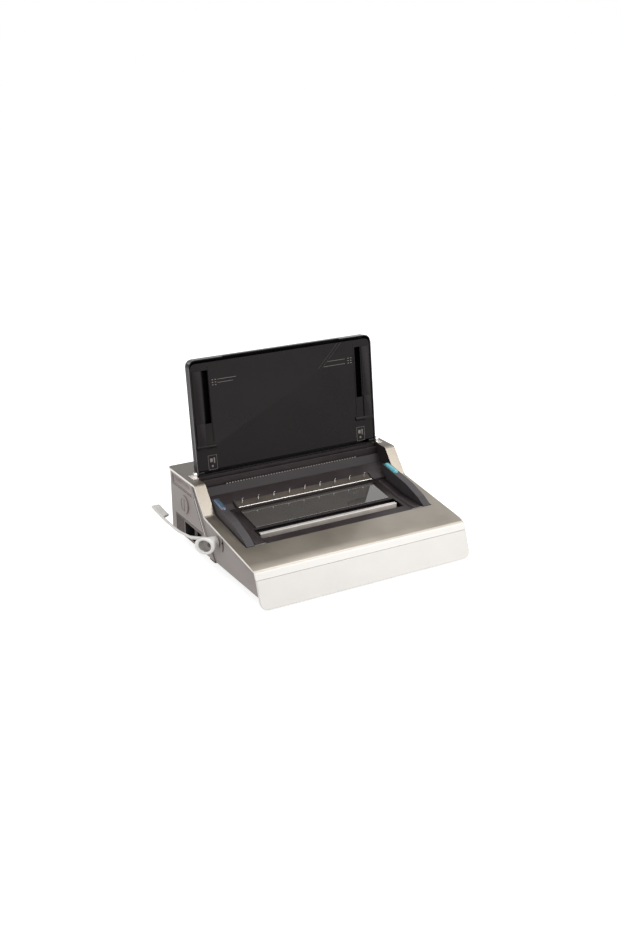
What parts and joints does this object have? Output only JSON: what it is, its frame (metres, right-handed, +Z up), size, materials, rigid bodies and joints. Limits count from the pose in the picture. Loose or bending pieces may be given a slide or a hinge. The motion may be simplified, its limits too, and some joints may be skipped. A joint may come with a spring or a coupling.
{
  "type": "electric wire binding machine",
  "caption": "Desk machine that punches sheets with a motor-driven bar and closes wire elements with a side lever, under a hinged lid, with storage and chip drawers.",
  "frame": {"origin": "middle of the machine's footprint, lever included, on the table that its feet stand on", "axes": "+X to the right of someone facing the front, +Y to the rear, +Z up; lid open, lever back"},
  "size_m": [0.544, 0.44, 0.415],
  "materials": {
    "casing_silver": "satin silver-taupe lacquer with a fine metallic fleck",
    "side_grey": "matt grey lacquer",
    "dark_plastic": "dark brown-black moulding, low sheen",
    "black_plastic": "black moulding, fine texture",
    "off_white": "off-white moulding, soft gloss",
    "steel": "ground and zinc-plated steel",
    "aluminium": "extruded aluminium, clear anodised",
    "bronze": "bronze-coloured metallic lacquer",
    "smoked": "polished smoked acrylic",
    "button_blue": "translucent blue-green moulding",
    "rubber": "black moulded rubber",
    "board_green": "green solder mask",
    "brass": "turned brass"
  },
  "bodies": {
    "casing": {"top_cover": "casing_silver", "rear_panel": "black_plastic", "base_pan": "black_plastic", "work_deck": "dark_plastic", "throat_bar": "dark_plastic", "throat_back": "dark_plastic", "die_plate": "steel", "guide_plate": "steel", "paper_stop": "steel", "motor": "steel", "motor_bracket": "steel", "wire_holder": "bronze", "smoked_cover": "smoked", "mains_inlet": "black_plastic", "switch_body": "black_plastic", "circuit_board": "board_green", "side_panel_left": "side_grey", "side_panel_right": "side_grey", "side_skirt_left": "side_grey", "side_skirt_right": "side_grey", "handle_cup_left": "black_plastic", "handle_cup_right": "black_plastic", "chassis_left": "steel", "chassis_right": "steel", "shaft_bush_left": "brass", "shaft_bush_right": "brass", "ramp_left": "dark_plastic", "ramp_right": "dark_plastic", "drawer_runner_left": "steel", "drawer_runner_right": "steel", "lid_bracket_left": "aluminium", "lid_bracket_right": "aluminium", "foot_front_left": "rubber", "foot_front_right": "rubber", "foot_rear_left": "rubber", "foot_rear_right": "rubber"},
    "lid": {"lid_shell": "dark_plastic", "lid_liner": "dark_plastic", "lid_hinge_pin_left": "steel", "lid_hinge_pin_right": "steel"},
    "lever": {"closer_lever": "off_white", "closer_shaft": "steel"},
    "jaw": {"jaw_carriage": "steel", "closer_bar": "aluminium"},
    "crank": {"crank_shaft": "steel", "drive_gear": "steel"},
    "punch": {"punch_bar": "steel"},
    "rotor": {"motor_pinion": "brass"},
    "button_left": {"punch_button_left": "button_blue"},
    "button_right": {"punch_button_right": "button_blue"},
    "storage_drawer": {"drawer_front": "casing_silver", "drawer_tray": "black_plastic"},
    "chip_bin": {"chip_drawer": "dark_plastic"},
    "edge_knob": {"edge_guide_knob": "side_grey", "guide_spindle": "steel"},
    "edge_stop": {"edge_guide": "steel"},
    "rocker": {"power_rocker": "black_plastic"}
  },
  "joints": [
    {"name": "lid_hinge", "type": "hinge", "parent": "casing", "child": "lid", "pos_m": [0.023, 0.1231, 0.1724], "axis": [1, 0, 0], "range_deg": [0, 112]},
    {"name": "closer_lever_turn", "type": "hinge", "parent": "casing", "child": "lever", "pos_m": [0.023, -0.023, 0.077], "axis": [1, 0, 0], "range_deg": [0, 100]},
    {"name": "closer_jaw_slide", "type": "slide", "parent": "casing", "child": "jaw", "axis": [0, 1, 0], "range_m": [0, 0.0131]},
    {"name": "crank_turn", "type": "hinge", "parent": "casing", "child": "crank", "pos_m": [0.023, 0.164, 0.096], "axis": [1, 0, 0], "range_deg": [0, 180]},
    {"name": "punch_slide", "type": "slide", "parent": "casing", "child": "punch", "axis": [0, -1, 0], "range_m": [0, 0.009]},
    {"name": "motor_spin", "type": "hinge", "parent": "casing", "child": "rotor", "pos_m": [0.023, 0.18163, 0.12027], "axis": [1, 0, 0], "range_deg": [-540, 0]},
    {"name": "punch_button_left_press", "type": "slide", "parent": "casing", "child": "button_left", "axis": [0, 0, -1], "range_m": [0, 0.0025], "stiffness_N_per_m": 400, "springref_m": -0.0025},
    {"name": "punch_button_right_press", "type": "slide", "parent": "casing", "child": "button_right", "axis": [0, 0, -1], "range_m": [0, 0.0025], "stiffness_N_per_m": 400, "springref_m": -0.0025},
    {"name": "storage_drawer_slide", "type": "slide", "parent": "casing", "child": "storage_drawer", "axis": [0, -1, 0], "range_m": [0, 0.15]},
    {"name": "chip_drawer_slide", "type": "slide", "parent": "casing", "child": "chip_bin", "axis": [-1, 0, 0], "range_m": [0, 0.2]},
    {"name": "edge_knob_turn", "type": "hinge", "parent": "casing", "child": "edge_knob", "pos_m": [-0.177, 0.1346, 0.1046], "axis": [1, 0, 0], "range_deg": [0, 270]},
    {"name": "edge_guide_slide", "type": "slide", "parent": "casing", "child": "edge_stop", "axis": [1, 0, 0], "range_m": [0, 0.006]},
    {"name": "power_rocker_tilt", "type": "hinge", "parent": "casing", "child": "rocker", "pos_m": [0.2335, 0.2103, 0.052], "axis": [1, 0, 0], "range_deg": [0, 16]}
  ],
  "couplings": [
    {"joint": "closer_jaw_slide", "follows": "closer_lever_turn", "m_per_rad": 0.0075},
    {"joint": "crank_turn", "follows": "punch_slide", "rad_per_m": 349.07},
    {"joint": "motor_spin", "follows": "punch_slide", "rad_per_m": -1047.2},
    {"joint": "edge_knob_turn", "follows": "edge_guide_slide", "rad_per_m": 785.4}
  ]
}
